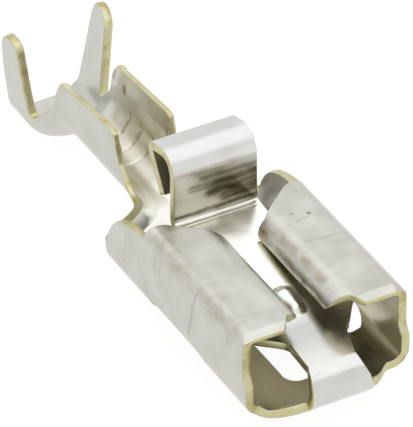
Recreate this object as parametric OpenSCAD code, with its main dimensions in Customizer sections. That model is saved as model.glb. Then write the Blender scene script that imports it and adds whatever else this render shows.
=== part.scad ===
// Locking female spade terminal for a flat 6.3 x 0.8 mm tab, folded from one strip of sheet.
// +X runs along the terminal to its mouth, +Y is its left and +Z is up. The origin is below
// the middle of the whole length, at the level of the lowest face of the insulation grip.

/* [Sheet] */
// Thickness of the sheet
sheet = 0.4; // [0.35:0.01:0.42]

/* [Tab socket] */
// Outside width of the socket
box_w = 7.6; // [7.4:0.1:8]
// Outside height of the socket
box_h = 3.8; // [3.7:0.05:4]
// Length of the side walls
box_l = 11.9; // [11.6:0.1:12.1]
// Outside radius of the two lower edges
floor_r = 0.8; // [0.6:0.05:0.9]
// Outside radius of the upper edges
shoulder_r = 0.6; // [0.5:0.05:0.8]
// Outside radius of the lips, where the rolls turn down
lip_r = 0.95; // [0.8:0.05:1]
// Gap between the two lips
lip_gap = 1.36; // [1.2:0.02:1.6]

/* [Lock arm] */
// Outside radius of the curl at the mouth
curl_r = 1; // [0.95:0.01:1.02]
// How far the centre of the curl lies in front of the mouth
curl_x = 0.38; // [0.3:0.02:0.5]
// Angle at which the arm rises towards the rear, in degrees
arm_rise = 5.7; // [5.2:0.1:5.8]
// Distance from the mouth back to the front face of the lever
lever_x = 9.55; // [9.4:0.05:9.7]
// Width of the lever and of the narrow part of the arm
lever_w = 3.9; // [3.6:0.1:4.1]
// Height of the lever's flat front face above its bend
lever_rise = 2.05; // [1.8:0.05:2.3]

/* [Wire barrel] */
// Outside radius of the open wire barrel
barrel_r = 1.45; // [1.35:0.05:1.6]
// Height of the top edges of the barrel above the socket floor, at its rear end
barrel_top = 3.2; // [3:0.1:3.5]
// How far the top edges of the barrel rise towards its front end
barrel_rise = 0.3; // [0:0.05:0.4]
// Height of the underside of the barrel above the socket floor
barrel_lift = 0.2; // [0:0.05:0.3]

/* [Insulation grip] */
// Outside width of the grip at its floor
grip_w = 3.7; // [3.5:0.1:4]
// Drop of the grip below the socket floor
grip_drop = 1.2; // [0.9:0.1:1.4]
// Height of the ear tips above the socket floor
ear_top = 4; // [3.6:0.1:4.4]
// Outward lean of the ears, in degrees
ear_lean = 6.5; // [4:0.5:8]
// Length of an ear along the terminal
ear_l = 2.25; // [2:0.05:2.4]

/* [Hidden] */

$fn = 96;
big = 40;

// Stations along the terminal, measured from the mouth, which is at x = 0
neck_x = -box_l;
barrel_front_x = -15.2;
barrel_rear_x = -19.6;
grip_front_x = -23;
grip_rear_x = -24.65;
nose_x = curl_x + curl_r;

// The row's origin, seen from the mouth
origin_x = (nose_x + grip_rear_x) / 2;

// Mouth: the upper part of each wall is set back from the lower part
step_low_z = 1.44;
step_high_z = 1.93;
set_back = 0.29;

// Rear of the side walls: [distance from the rear end, height] of the falling upper edge
roll_rear_x = -8.7;
wall_falls = [
    [2.3, 3.27], [1.8, 3.14], [1.3, 2.95], [0.85, 2.67], [0.5, 2.3], [0.22, 1.85], [0.06, 1.4], [0, 1]
];

// Windows in the floor
window_z = 0.62;
spine_window_w = 2.7;
spine_window_l = 6.6;
spine_window_x = -0.75;

// Arm
plate_w = 5.6;
curl_top_w = 2.44;
curl_root_w = 2.9;
floor_root_w = 6;
arm_split_z = 1;
bump_r = 0.55;
bump_l = 0.8;
bump_x = -3.15;
bump_sink = 0.25;

// Lever: the fold at its top, then the leg that turns back down
lever_bend_r = 0.6;
lever_turn = 104;
lever_back = 0.65;
fold_r = 0.08;
fold_turn = 106;
leg_l = 1.85;
foot_bend_r = 0.15;

// Barrel
barrel_side_l = barrel_top + barrel_rise - barrel_lift - barrel_r;
barrel_peak_x = -16;
groove_xs = [-16.85, -17.85, -18.85];
groove_w = 0.15;
groove_depth = 0.07;

// Grip
grip_r = 1.2;
ear_front_x = grip_rear_x + ear_l;

// ---------------------------------------------------------------- folded strip

// Extrudes a folded strip of sheet along Z. Each step is [length, bend radius, angle]:
// the strip runs straight for that length and then bends about its inner radius,
// to the left for a positive angle and to the right for a negative one. The right-hand
// face of the strip starts at the origin and heads along +X.
module folded(steps, width, i = 0)
{
    if (i < len(steps))
    {
        run = steps[i][0];
        r = steps[i][1];
        turn = steps[i][2];
        if (run > 0) cube([run, sheet, width]);
        translate([run, 0, 0])
        {
            if (turn > 0)
                translate([0, sheet + r, 0])
                {
                    rotate([0, 0, -90]) ring_part(r, turn, width);
                    rotate([0, 0, turn])
                        translate([0, -sheet - r, 0]) folded(steps, width, i + 1);
                }
            if (turn < 0)
                translate([0, -r, 0])
                {
                    rotate([0, 0, 90 + turn]) ring_part(r, -turn, width);
                    rotate([0, 0, turn]) translate([0, r, 0]) folded(steps, width, i + 1);
                }
        }
    }
}

module ring_part(r, angle, width)
{
    rotate_extrude(angle = angle) translate([r, 0]) square([sheet, width]);
}

// Turns a strip drawn in XY so that it is a cross-section, running from x1 up to x2
module across(x1)
{
    translate([x1, 0, 0]) rotate([90, 0, 90]) children();
}

// Turns a strip drawn in XY so that it is a side view, centred on the middle plane
module along(width)
{
    translate([0, width / 2, 0]) rotate([90, 0, 0]) children();
}

// Prism of a side-view outline, over the full width
module side_prism(points)
{
    along(big) linear_extrude(big) polygon(points);
}

// Prism of a plan outline, from z1 to z2
module plan_prism(points, z1, z2)
{
    translate([0, 0, z1]) linear_extrude(z2 - z1) polygon(points);
}

module both_sides()
{
    children();
    mirror([0, 1, 0]) children();
}

// ---------------------------------------------------------------- smooth sheet

// Angle of a trough's cross-section at point i, which runs over 0 to 2 * trough_n: from the
// top of the left wall, round its corner and over the floor, to the top of the right wall.
// A section is [x, half width, corner radius, floor z, wall top z, lean of the wall]. Where
// the wall top is lower than the end of the corner, the section stops on the corner's arc.
trough_n = 9;

function on_arc(s) = s[4] - s[3] < s[2] * (1 - cos(90 - s[5]));

function half_angle(s, i) =
    i == trough_n
        ? 0
        : on_arc(s)
            ? acos(1 - (s[4] - s[3]) / s[2]) * (trough_n - 1 - i) / (trough_n - 1)
            : (90 - s[5]) * min((trough_n - 1 - i) / (trough_n - 2), 1);

function half_trough(s, i) =
    let (a = half_angle(s, i), side = -(s[1] - s[2]) - s[2] * sin(a), z = s[3] + s[2] - s[2] * cos(a))
    i == trough_n
        ? [s[0], 0, s[3]]
        : i == 0 && !on_arc(s) ? [s[0], side - (s[4] - z) * tan(s[5]), s[4]] : [s[0], side, z];

function trough(s, i) =
    i <= trough_n ? half_trough(s, i) : let (p = half_trough(s, 2 * trough_n - i)) [p[0], -p[1], p[2]];

// Direction across the trough at point i
function trough_heading(s, i) =
    let (a = i <= trough_n ? -half_angle(s, i) : half_angle(s, 2 * trough_n - i)) [0, cos(a), sin(a)];

// Closed sheet through a row of sections, in order of rising x: the outer face is on the
// sections, and the inner face is moved along the normals by the sheet's thickness. The end
// sections keep their own plane, and are drawn in by a hair on both faces, so that they meet
// the plain section that each of them runs into inside its own end face.
seam = 0.012;

module sheet_through(sections)
{
    rows = len(sections);
    cols = 2 * trough_n + 1;
    path = [for (s = sections) [for (j = [0 : cols - 1]) trough(s, j)]];
    inward = [for (i = [0 : rows - 1]) [for (j = [0 : cols - 1])
        let (
            along_x = path[min(i + 1, rows - 1)][j] - path[max(i - 1, 0)][j],
            n = cross(along_x, trough_heading(sections[i], j)),
            flat = i == 0 || i == rows - 1 ? [0, n[1], n[2]] : n
        )
        flat / norm(flat)]];
    hair = [for (i = [0 : rows - 1]) i == 0 || i == rows - 1 ? seam : 0];
    outer = [for (i = [0 : rows - 1]) for (j = [0 : cols - 1]) path[i][j] + hair[i] * inward[i][j]];
    inner = [for (i = [0 : rows - 1]) for (j = [0 : cols - 1])
        path[i][j] + (sheet - hair[i]) * inward[i][j]];
    m = rows * cols;
    at = function(i, j) i * cols + j;
    skin = [for (i = [0 : rows - 2]) for (j = [0 : cols - 2])
        each [[at(i, j), at(i + 1, j + 1), at(i, j + 1)], [at(i, j), at(i + 1, j), at(i + 1, j + 1)]]];
    skin_in = [for (f = skin) [m + f[2], m + f[1], m + f[0]]];
    edges = [for (i = [0 : rows - 2]) for (j = [0, cols - 1])
        let (a = at(i, j), b = at(i + 1, j))
        each j == 0 ? [[b, a, m + a], [b, m + a, m + b]] : [[a, b, m + b], [a, m + b, m + a]]];
    ends = [for (i = [0, rows - 1]) for (j = [0 : cols - 2])
        let (a = at(i, j), b = at(i, j + 1))
        each i == 0 ? [[a, b, m + b], [a, m + b, m + a]] : [[b, a, m + a], [b, m + a, m + b]]];
    polyhedron(concat(outer, inner), concat(skin, skin_in, edges, ends));
}

// Smooth blend from a to b as t goes from 0 to 1, level at both ends
function ease(a, b, t) =
    let (u = min(max(t, 0), 1)) a + (b - a) * u * u * (3 - 2 * u);

// ---------------------------------------------------------------- tab socket

module socket_section()
{
    wall_l = box_h - floor_r - shoulder_r;
    top_l = box_w / 2 - shoulder_r - lip_r - lip_gap / 2;
    folded([
        [box_w / 2 - floor_r, floor_r - sheet, 90],
        [wall_l, shoulder_r - sheet, 90],
        [top_l, lip_r - sheet, 90]
    ], box_l);
}

// Side view of the socket: stepped mouth, and rear walls whose upper edges fall to the neck
module socket_side_view()
{
    side_prism([
        [0, -1],
        [0, step_low_z],
        [-set_back, step_high_z],
        [-set_back, box_h + 1],
        [roll_rear_x, box_h + 1],
        [roll_rear_x, wall_falls[0][1] + 0.15],
        for (p = wall_falls) [neck_x + p[0], p[1]],
        [neck_x, -1]
    ]);
}

// Cuts the ends of the rolls: slanted at the front, drawn back at the rear
module roll_end_cuts()
{
    front = [[0.1, 1.9], [-set_back, 1.9], [-0.75, 1.65], [-0.95, 1.25], [-1.2, 0.9], [-1.25, 0], [0.1, 0]];
    rear = [[-13, 0], [-7.05, 0], [-7.2, 0.9], [-7.4, 1.25], [-8, 2.05], [-8.65, 2.85], [-8.75, 3.3], [-13, 3.3]];
    both_sides()
    {
        plan_prism(front, 2.3, box_h + 1);
        plan_prism(rear, 2.3, box_h + 1);
    }
}

// Lead-in pressed along the front edge of the rolls
module roll_lead_in()
{
    lead = 0.36;
    drop = 0.2;
    side_prism([
        [-set_back - lead, box_h],
        [-set_back - lead, box_h + 1],
        [1, box_h + 1],
        [1, box_h - drop],
        [-set_back, box_h - drop]
    ]);
}

// Window through the floor on the middle plane, with rounded front corners
module spine_window()
{
    r = 0.6;
    rear_x = spine_window_x - spine_window_l;
    translate([0, 0, -1]) linear_extrude(2)
    {
        translate([rear_x, -spine_window_w / 2]) square([spine_window_l - r, spine_window_w]);
        translate([rear_x + r, r - spine_window_w / 2])
            square([spine_window_l - r, spine_window_w - 2 * r]);
        for (s = [-1, 1])
            translate([spine_window_x - r, s * (spine_window_w / 2 - r)]) circle(r);
    }
}

// Windows that open the lower corners of the socket on both sides
module corner_windows()
{
    both_sides() plan_prism([
        [-2.5, 2.1], [-2.5, 2.65], [-2.7, 3.1], [-3.1, 3.5], [-3.7, 4.2], [-7.8, 4.2], [-7.8, 2.1]
    ], -1, window_z);
}

module socket()
{
    difference()
    {
        intersection()
        {
            both_sides() across(neck_x) socket_section();
            socket_side_view();
        }
        roll_end_cuts();
        roll_lead_in();
        spine_window();
        corner_windows();
    }
}

// ---------------------------------------------------------------- lock arm and lever

arm_run = (lever_x + curl_x - foot_bend_r - (curl_r - foot_bend_r) * sin(arm_rise)) / cos(arm_rise);

module arm_strip()
{
    along(big) folded([
        [curl_x, curl_r - sheet, 180 - arm_rise],
        [arm_run, foot_bend_r, arm_rise - 90],
        [lever_rise, lever_bend_r, lever_turn],
        [lever_back, fold_r, fold_turn],
        [leg_l, 0, 0]
    ], big);
}

// Half width of the lower half of the curl, where the arm leaves the floor
function root_half(x) =
    curl_root_w / 2 + (floor_root_w - curl_root_w) / 2 * (1 - pow(min(x / 0.98, 1), 1.8));

module arm_root_outline()
{
    xs = [for (k = [0 : 12]) (nose_x + 0.1) * k / 12];
    plan_prism(concat(
        [for (x = xs) [x, -root_half(x)]],
        [for (k = [len(xs) - 1 : -1 : 0]) [xs[k], root_half(xs[k])]]
    ), -1, arm_split_z);
}

// The narrow curl opens into a wide plate under the rolls and closes again behind them
module arm_outline()
{
    half = [
        [nose_x + 0.1, curl_root_w / 2],
        [curl_x, curl_top_w / 2],
        [-0.3, curl_top_w / 2],
        [-0.6, 1.32],
        [-0.9, 1.52],
        [-1.25, 1.88],
        [-1.7, 2.35],
        [-2.3, plate_w / 2],
        [-6.3, plate_w / 2],
        [-7.3, lever_w / 2],
        [-13, lever_w / 2]
    ];
    plan_prism(concat(
        half,
        [for (k = [len(half) - 1 : -1 : 0]) [half[k][0], -half[k][1]]]
    ), arm_split_z, 8);
}

// Locking bump pressed up from the plate: it clicks into the hole of the tab
module bump(r)
{
    surface_z = 2 * curl_r + (curl_x - bump_x) * tan(arm_rise);
    translate([bump_x, 0, surface_z - bump_sink]) rotate([0, arm_rise, 0])
    {
        for (s = [-1, 1]) translate([s * bump_l / 2, 0, 0]) sphere(r);
        rotate([0, 90, 0]) cylinder(r = r, h = bump_l, center = true);
    }
}

module arm()
{
    difference()
    {
        union()
        {
            intersection()
            {
                arm_strip();
                union()
                {
                    arm_root_outline();
                    arm_outline();
                }
            }
            bump(bump_r);
        }
        bump(bump_r - 0.36);
    }
}

// ---------------------------------------------------------------- neck

neck_lip_z = 1.2;

// Half width of the neck: it closes quickly behind the socket, then tapers to the barrel
function neck_half(x) =
    let (t = (neck_x - x) / 1.65, taper = (x - barrel_front_x) / (neck_x - barrel_front_x))
    ease(box_w / 2 - 0.4, barrel_r, t) + 0.4 * ease(0, 1, taper);

function neck_section(x) =
    let (t = (neck_x - x) / (neck_x - barrel_front_x))
    [
        x,
        neck_half(x),
        ease(floor_r, barrel_r, t * 1.6),
        ease(0, barrel_lift, t),
        lookup(x, [[-15.2, 2.1], [-14.9, 1.83], [-14.7, 1.63], [-14.4, 1.37], [-14, 1.22], [neck_x, neck_lip_z]]),
        0
    ];

module neck()
{
    rest = [barrel_front_x, -15.05, -14.9, -14.7, -14.55, -14.4, -14.2, -14];
    fine = [for (k = [14 : -1 : 1]) neck_x - 1.75 * k / 14];
    sheet_through([for (x = concat(rest, fine, [neck_x])) neck_section(x)]);
}

// ---------------------------------------------------------------- wire barrel

module barrel_trough()
{
    both_sides() across(barrel_rear_x) folded([
        [0, barrel_r - sheet, 90],
        [barrel_side_l, 0, 0]
    ], barrel_front_x - barrel_rear_x);
}

module wire_barrel()
{
    difference()
    {
        intersection()
        {
            translate([0, 0, barrel_lift]) barrel_trough();
            side_prism([
                [-22, -1],
                [-22, barrel_top],
                [barrel_rear_x, barrel_top],
                [barrel_peak_x, barrel_top + barrel_rise],
                [-15.6, barrel_top + barrel_rise - 0.1],
                [-15.48, 2.95],
                [-15.36, 2.5],
                [barrel_front_x, 2.15],
                [barrel_front_x, -1]
            ]);
        }
        for (x = groove_xs)
            translate([x - groove_w / 2, 0, barrel_lift + barrel_r])
                rotate([0, 90, 0]) cylinder(r = barrel_r - sheet + groove_depth, h = groove_w);
    }
}

// ---------------------------------------------------------------- insulation grip

// Height of the free edge of the sheet from the barrel to the end of the grip: the barrel's
// walls slope down to a low edge, and each ear stands up behind it with a rounded tip
edge_heights = [
    [grip_rear_x, ear_top - 2.6],
    [grip_rear_x + 0.15, ear_top - 1.55],
    [grip_rear_x + 0.3, ear_top - 0.8],
    [grip_rear_x + 0.45, ear_top - 0.42],
    [grip_rear_x + 0.7, ear_top - 0.13],
    [grip_rear_x + 1, ear_top],
    [grip_rear_x + 1.4, ear_top],
    [ear_front_x - 0.45, ear_top - 0.06],
    [ear_front_x - 0.15, ear_top - 0.22],
    [ear_front_x, ear_top - 0.4],
    [ear_front_x + 0.1, 2],
    [ear_front_x + 0.18, 0.45],
    [ear_front_x + 0.26, 0.2],
    [-22.1, 0.3],
    [-21.7, 0.65],
    [-21.35, 1.15],
    [-21.05, 1.7],
    [-20.8, 2.25],
    [-20.05, barrel_top],
    [-19.75, barrel_top],
    [barrel_rear_x, barrel_top - seam]
];

function grip_section(x) =
    let (t = (barrel_rear_x - x) / (barrel_rear_x - grip_front_x))
    [
        x,
        ease(barrel_r, grip_w / 2, t),
        ease(barrel_r, grip_r, t),
        ease(barrel_lift, -grip_drop, t * 1.05 - 0.02),
        lookup(x, edge_heights),
        ease(0, ear_lean, t)
    ];

module grip()
{
    between = [-23, -22.7, -21.9, -21.5, -21.2, -20.5, -20.25, -19.9];
    stations = [for (e = edge_heights) if (e[0] < barrel_rear_x) e[0]];
    all = concat(stations, between, [barrel_rear_x]);
    sheet_through([for (x = sorted(all)) grip_section(x)]);
}

// A list in rising order
function sorted(v) =
    len(v) < 2 ? v : concat(sorted([for (e = v) if (e < v[0]) e]), [v[0]], sorted([for (e = v) if (e > v[0]) e]));

// ---------------------------------------------------------------- whole terminal

// The folded blank: socket, neck, wire barrel and grip, each joined to the one before it
module blank()
{
    union()
    {
        union()
        {
            union()
            {
                socket();
                neck();
            }
            wire_barrel();
        }
        grip();
    }
}

module terminal()
{
    color([0.82, 0.82, 0.8])
        translate([-origin_x, 0, grip_drop])
        {
            blank();
            arm();
        }
}

terminal();
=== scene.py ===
"""Dresses a locking female spade terminal: folded, tin-plated strip with bare cut edges, on a pale floor."""
import math

import bpy
from bpy.props import FloatProperty, FloatVectorProperty, PointerProperty
from mathutils import Matrix, Vector, noise
from mathutils.geometry import delaunay_2d_cdt
from mathutils.kdtree import KDTree


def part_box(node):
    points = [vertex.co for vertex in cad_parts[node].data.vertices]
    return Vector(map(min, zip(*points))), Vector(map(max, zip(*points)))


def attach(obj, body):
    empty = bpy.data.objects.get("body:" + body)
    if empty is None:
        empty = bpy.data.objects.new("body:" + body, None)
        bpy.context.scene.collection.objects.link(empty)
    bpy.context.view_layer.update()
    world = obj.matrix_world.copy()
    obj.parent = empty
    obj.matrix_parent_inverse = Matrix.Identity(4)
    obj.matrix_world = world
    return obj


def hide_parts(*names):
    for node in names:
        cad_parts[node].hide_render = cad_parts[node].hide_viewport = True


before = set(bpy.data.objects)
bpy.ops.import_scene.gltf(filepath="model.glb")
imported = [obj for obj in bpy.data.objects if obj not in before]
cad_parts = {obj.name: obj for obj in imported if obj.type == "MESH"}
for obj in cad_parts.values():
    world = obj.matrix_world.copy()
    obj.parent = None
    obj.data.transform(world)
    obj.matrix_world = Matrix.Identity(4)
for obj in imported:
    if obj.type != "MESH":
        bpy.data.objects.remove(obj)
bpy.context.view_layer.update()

bl_info = {
    "name": "Locking Spade Terminal",
    "version": (1, 0, 0),
    "blender": (4, 5, 0),
    "location": "View3D > Sidebar > Terminal",
    "description": "Folds a locking female spade terminal from its flat blank, in tin-plated brass",
    "category": "Add Mesh",
}

# The inner face takes its place on the blank this far across from the outer face's, in millimetres
INNER_SHIFT = 40.0
# Spacing of the points along the blank's edges, and how far the points inside keep from them
EDGE_STEP = 0.11
EDGE_CLEARANCE = 0.062
LENGTH_UNIT = {"unit": "LENGTH", "subtype": "DISTANCE", "precision": 6, "min": 0.00001}


# ---------------------------------------------------------------- properties


class StripSizes(bpy.types.PropertyGroup):
    """Sizes of the folded strip."""

    sheet: FloatProperty(name="Sheet", description="Thickness of the sheet", default=0.0004, **LENGTH_UNIT)
    box_w: FloatProperty(
        name="Socket Width", description="Outside width of the tab socket", default=0.0076, **LENGTH_UNIT
    )
    box_h: FloatProperty(
        name="Socket Height", description="Outside height of the tab socket", default=0.0038, **LENGTH_UNIT
    )
    box_l: FloatProperty(
        name="Wall Length", description="Length of the socket's side walls", default=0.0119, **LENGTH_UNIT
    )
    floor_r: FloatProperty(
        name="Floor Edge Radius", description="Outside radius of the two lower edges",
        default=0.0008, **LENGTH_UNIT
    )
    shoulder_r: FloatProperty(
        name="Shoulder Radius", description="Outside radius of the upper edges",
        default=0.0006, **LENGTH_UNIT
    )
    lip_r: FloatProperty(
        name="Lip Radius", description="Outside radius of the lips that turn down",
        default=0.00095, **LENGTH_UNIT
    )
    lip_gap: FloatProperty(
        name="Lip Gap", description="Gap between the two lips", default=0.00136, **LENGTH_UNIT
    )
    curl_r: FloatProperty(
        name="Curl Radius", description="Outside radius of the curl at the mouth",
        default=0.001, **LENGTH_UNIT
    )
    curl_x: FloatProperty(
        name="Curl Reach", description="How far the curl's centre lies in front of the mouth",
        default=0.00038, **LENGTH_UNIT
    )
    arm_rise: FloatProperty(
        name="Arm Rise", description="Angle at which the lock arm rises",
        default=math.radians(5.7), subtype="ANGLE"
    )
    lever_x: FloatProperty(
        name="Lever Distance", description="Mouth to the lever's front face", default=0.00955, **LENGTH_UNIT
    )
    lever_w: FloatProperty(
        name="Lever Width", description="Width of the release lever", default=0.0039, **LENGTH_UNIT
    )
    lever_rise: FloatProperty(
        name="Lever Face", description="Height of the lever's flat front face",
        default=0.00205, **LENGTH_UNIT
    )
    barrel_r: FloatProperty(
        name="Barrel Radius", description="Outside radius of the open wire barrel",
        default=0.00145, **LENGTH_UNIT
    )
    barrel_lift: FloatProperty(
        name="Barrel Lift", description="Underside of the barrel above the socket floor",
        default=0.0002, **LENGTH_UNIT
    )
    grip_w: FloatProperty(
        name="Grip Width", description="Outside width of the insulation grip at its floor",
        default=0.0037, **LENGTH_UNIT
    )
    grip_r: FloatProperty(
        name="Grip Radius", description="Outside radius of the grip's lower edges",
        default=0.0012, **LENGTH_UNIT
    )
    grip_drop: FloatProperty(
        name="Grip Drop", description="Drop of the grip below the socket floor",
        default=0.0012, **LENGTH_UNIT
    )
    ear_lean: FloatProperty(
        name="Ear Lean", description="Outward lean of the ears", default=math.radians(6.5), subtype="ANGLE"
    )
    shear_r: FloatProperty(
        name="Shear Rounding", description="Rounding of the stamped edges", default=0.00005, **LENGTH_UNIT
    )


class MetalLook(bpy.types.PropertyGroup):
    """Colours and wear of the plated strip."""

    tin: FloatVectorProperty(
        name="Tin", description="Colour of the tin plate",
        default=(0.595, 0.59, 0.545), subtype="COLOR", min=0, max=1
    )
    brass: FloatVectorProperty(
        name="Cut Brass", description="Colour of the bare cut edges",
        default=(0.6, 0.56, 0.31), subtype="COLOR", min=0, max=1
    )
    roughness: FloatProperty(
        name="Roughness", description="Roughness of the tin plate",
        default=0.3, min=0, max=1, subtype="FACTOR"
    )
    grain: FloatProperty(
        name="Grain", description="Depth of the rolling grain", default=0.000002, **LENGTH_UNIT
    )
    waviness: FloatProperty(
        name="Waviness", description="Unevenness of the stamped sheet", default=0.00001, **LENGTH_UNIT
    )


# ---------------------------------------------------------------- the folded strip


def ease(a, b, t):
    """Smooth blend from a to b as t goes from 0 to 1, level at both ends."""
    t = min(max(t, 0.0), 1.0)
    return a + (b - a) * t * t * (3 - 2 * t)


def lookup(x, table):
    """Straight-line interpolation in a table of (x, value), in order of rising x."""
    if x <= table[0][0]:
        return table[0][1]
    for (x0, v0), (x1, v1) in zip(table, table[1:]):
        if x <= x1:
            return v0 + (v1 - v0) * (x - x0) / (x1 - x0)
    return table[-1][1]


def resample(points, step):
    """Points along a polyline, at most a step apart, with its own corners kept."""
    out = []
    for a, b in zip(points, points[1:]):
        gap = math.dist(a, b)
        count = max(1, math.ceil(gap / step))
        for k in range(count):
            t = k / count
            out.append((a[0] + (b[0] - a[0]) * t, a[1] + (b[1] - a[1]) * t))
    out.append(tuple(points[-1]))
    return out


def thinned(values, least):
    """Values in rising order, without those that follow their neighbour too closely."""
    return [v for i, v in enumerate(values) if i == 0 or v - values[i - 1] > least]


class Strip:
    """The flat blank and the way it is folded, in millimetres.

    A point of the blank is (u, v). v is the distance from the middle line, across the strip.
    u is the place along the terminal, 0 at the mouth and negative to the rear; a positive u is
    the distance along the lock arm, which starts at the mouth and curls back over the floor.
    """

    BARREL_FRONT = -15.2
    BARREL_REAR = -19.6
    GRIP_FRONT = -23.0
    GRIP_REAR = -24.65
    GROOVES = (-16.85, -17.85, -18.85)
    GROOVE_DEPTH = 0.07
    GROOVE_HALF_W = 0.13

    # coined edge of barrel and neck
    COIN_REAR = -20.7
    COIN_FRONT = -13.4
    COIN_DEPTH = 0.14
    COIN_WIDTH = 1.0

    # lead-in pressed along the front of the rolls
    LEAD_IN_DEPTH = 0.17
    LEAD_IN_REAR = -0.57
    LEAD_IN_RUN = 0.28

    # locking bump, and the creases behind it as (place, depth)
    BUMP_REAR = -3.6
    BUMP_FRONT = -2.75
    BUMP_HEIGHT = 0.34
    CREASES = ((-9.28, 0.02), (-9.0, 0.016))

    # folds of the release lever
    FOOT_BEND_R = 0.15
    LEVER_BEND_R = 0.6
    LEVER_TURN = math.radians(104)
    LEVER_BACK = 0.65
    FOLD_R = 0.08
    FOLD_TURN = math.radians(106)
    LEG_L = 1.85

    def __init__(self, sizes):
        for name in StripSizes.__annotations__:
            value = getattr(sizes, name)
            setattr(self, name, value if name in ("arm_rise", "ear_lean") else value * 1000)
        self.neck_x = -self.box_l
        right = math.pi / 2
        self.wall_l = self.box_h - self.floor_r - self.shoulder_r
        self.top_l = self.box_w / 2 - self.shoulder_r - self.lip_r - self.lip_gap / 2
        self.socket_path = [
            (self.box_w / 2 - self.floor_r, self.floor_r - self.sheet, right),
            (self.wall_l, self.shoulder_r - self.sheet, right),
            (self.top_l, self.lip_r - self.sheet, right),
        ]
        self.root_v = self.box_w / 2 - self.floor_r + 0.01
        self.v_wall = self.box_w / 2 - self.floor_r + self.floor_r * right
        self.wall_base = self.v_wall - self.floor_r
        self.v_shoulder = self.v_wall + self.wall_l
        self.v_top = self.v_shoulder + self.shoulder_r * right
        self.v_lip = self.v_top + self.top_l
        self.v_end = self.v_lip + self.lip_r * right
        foot = self.FOOT_BEND_R
        self.arm_start = self.curl_x + 0.099
        self.arm_run = (
            self.lever_x + self.curl_x - foot - (self.curl_r - foot) * math.sin(self.arm_rise)
        ) / math.cos(self.arm_rise)
        self.foot_s = self.curl_x + self.curl_r * (math.pi - self.arm_rise) + self.arm_run + 0.2
        self.arm_path = [
            (self.curl_x, self.curl_r - self.sheet, math.pi - self.arm_rise),
            (self.arm_run, foot, self.arm_rise - right),
            (self.lever_rise, self.LEVER_BEND_R, self.LEVER_TURN),
            (self.LEVER_BACK, self.FOLD_R, self.FOLD_TURN),
            (self.LEG_L, 0.0, 0.0),
        ]
        self.arm_end = self.path_length(self.arm_path)
        self.heights = {1: self.edge_heights(1), -1: self.edge_heights(-1)}

    def path_length(self, path):
        """Length of a folded strip, along its outer face."""
        return sum(run + abs(turn) * (r + (self.sheet if turn > 0 else 0)) for run, r, turn in path)

    def walk(self, path, s):
        """Place and heading at a distance along the outer face of a folded strip."""
        x = y = a = 0.0
        for run, r, turn in path:
            step = min(s, run)
            x += math.cos(a) * step
            y += math.sin(a) * step
            s -= step
            if s <= 0 or turn == 0:
                break
            side = 1 if turn > 0 else -1
            radius = r + self.sheet if turn > 0 else r
            bend = min(s, radius * abs(turn))
            centre_x = x - math.sin(a) * radius * side
            centre_y = y + math.cos(a) * radius * side
            a += side * bend / radius
            x = centre_x + math.sin(a) * radius * side
            y = centre_y - math.cos(a) * radius * side
            s -= bend
            if s <= 0:
                break
        return x + math.cos(a) * s, y + math.sin(a) * s, a

    def trough(self, x):
        """Half width, corner radius, floor height and lean of the section at x."""
        if x > self.BARREL_FRONT:
            t = (self.neck_x - x) / (self.neck_x - self.BARREL_FRONT)
            taper = (x - self.BARREL_FRONT) / (self.neck_x - self.BARREL_FRONT)
            half = ease(self.box_w / 2 - 0.4, self.barrel_r, (self.neck_x - x) / 1.65)
            half += 0.4 * ease(0, 1, taper)
            return half, ease(self.floor_r, self.barrel_r, t * 1.6), ease(0, self.barrel_lift, t), 0.0
        t = (self.BARREL_REAR - x) / (self.BARREL_REAR - self.GRIP_FRONT)
        return (
            ease(self.barrel_r, self.grip_w / 2, t),
            ease(self.barrel_r, self.grip_r, t),
            ease(self.barrel_lift, -self.grip_drop, t * 1.05 - 0.02),
            ease(0, self.ear_lean, t),
        )

    def across(self, x, v):
        """Height and side of a point on the section at x, with the heading there."""
        if x >= self.neck_x:
            return self.walk(self.socket_path, v)
        half, r, z, lean = self.trough(x)
        y, dz, a = self.walk([(half - r, r - self.sheet, math.pi / 2 - lean), (9, 0, 0)], v)
        return y, z + dz, a

    def reach(self, x, z):
        """Distance across the strip at which the section at x comes to a height."""
        if x >= self.neck_x:
            half, r, floor, lean = self.box_w / 2, self.floor_r, 0.0, 0.0
        else:
            half, r, floor, lean = self.trough(x)
        full = math.pi / 2 - lean
        corner = floor + r * (1 - math.cos(full))
        if z < corner:
            return half - r + r * math.acos(1 - (z - floor) / r)
        return half - r + r * full + (z - corner) / math.cos(lean)

    def arm_s(self, x):
        """Distance along the arm of a place on its upper straight run."""
        turned = math.pi - self.arm_rise
        start = self.curl_x + self.curl_r * math.sin(turned)
        return self.curl_x + self.curl_r * turned + (start - x) / math.cos(self.arm_rise)

    def arm_x(self, u):
        """Place along the terminal of a distance on the arm's upper straight run."""
        return self.arm_start - (u - self.arm_s(self.arm_start)) * math.cos(self.arm_rise)

    def relief(self, u, v):
        """How far the sheet stands proud of its plain fold, towards its outer face."""
        rise = 0.0
        if u > 0:
            x = self.arm_x(u)
            nearest = min(max(x, self.BUMP_REAR), self.BUMP_FRONT)
            radius = 0.5 - 0.12 * ease(0, 1, (nearest - self.BUMP_REAR) / 0.85)
            gap = math.hypot(x - nearest, v) / radius
            if gap < 1.25:
                rise += self.BUMP_HEIGHT * ease(1, 0, gap / 1.25) ** 0.8
            for place, depth in self.CREASES:
                rise -= depth * math.exp(-(((x - place) / 0.05) ** 2)) * ease(0, 1, 2.2 - abs(v))
        return rise

    def uneven(self, place):
        """Unevenness of the sheet at a place, between about -1 and 1."""
        return noise.noise(place * 0.9) * 0.7 + noise.noise(place * 2.3 + Vector((5, 1, 3))) * 0.3

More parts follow.
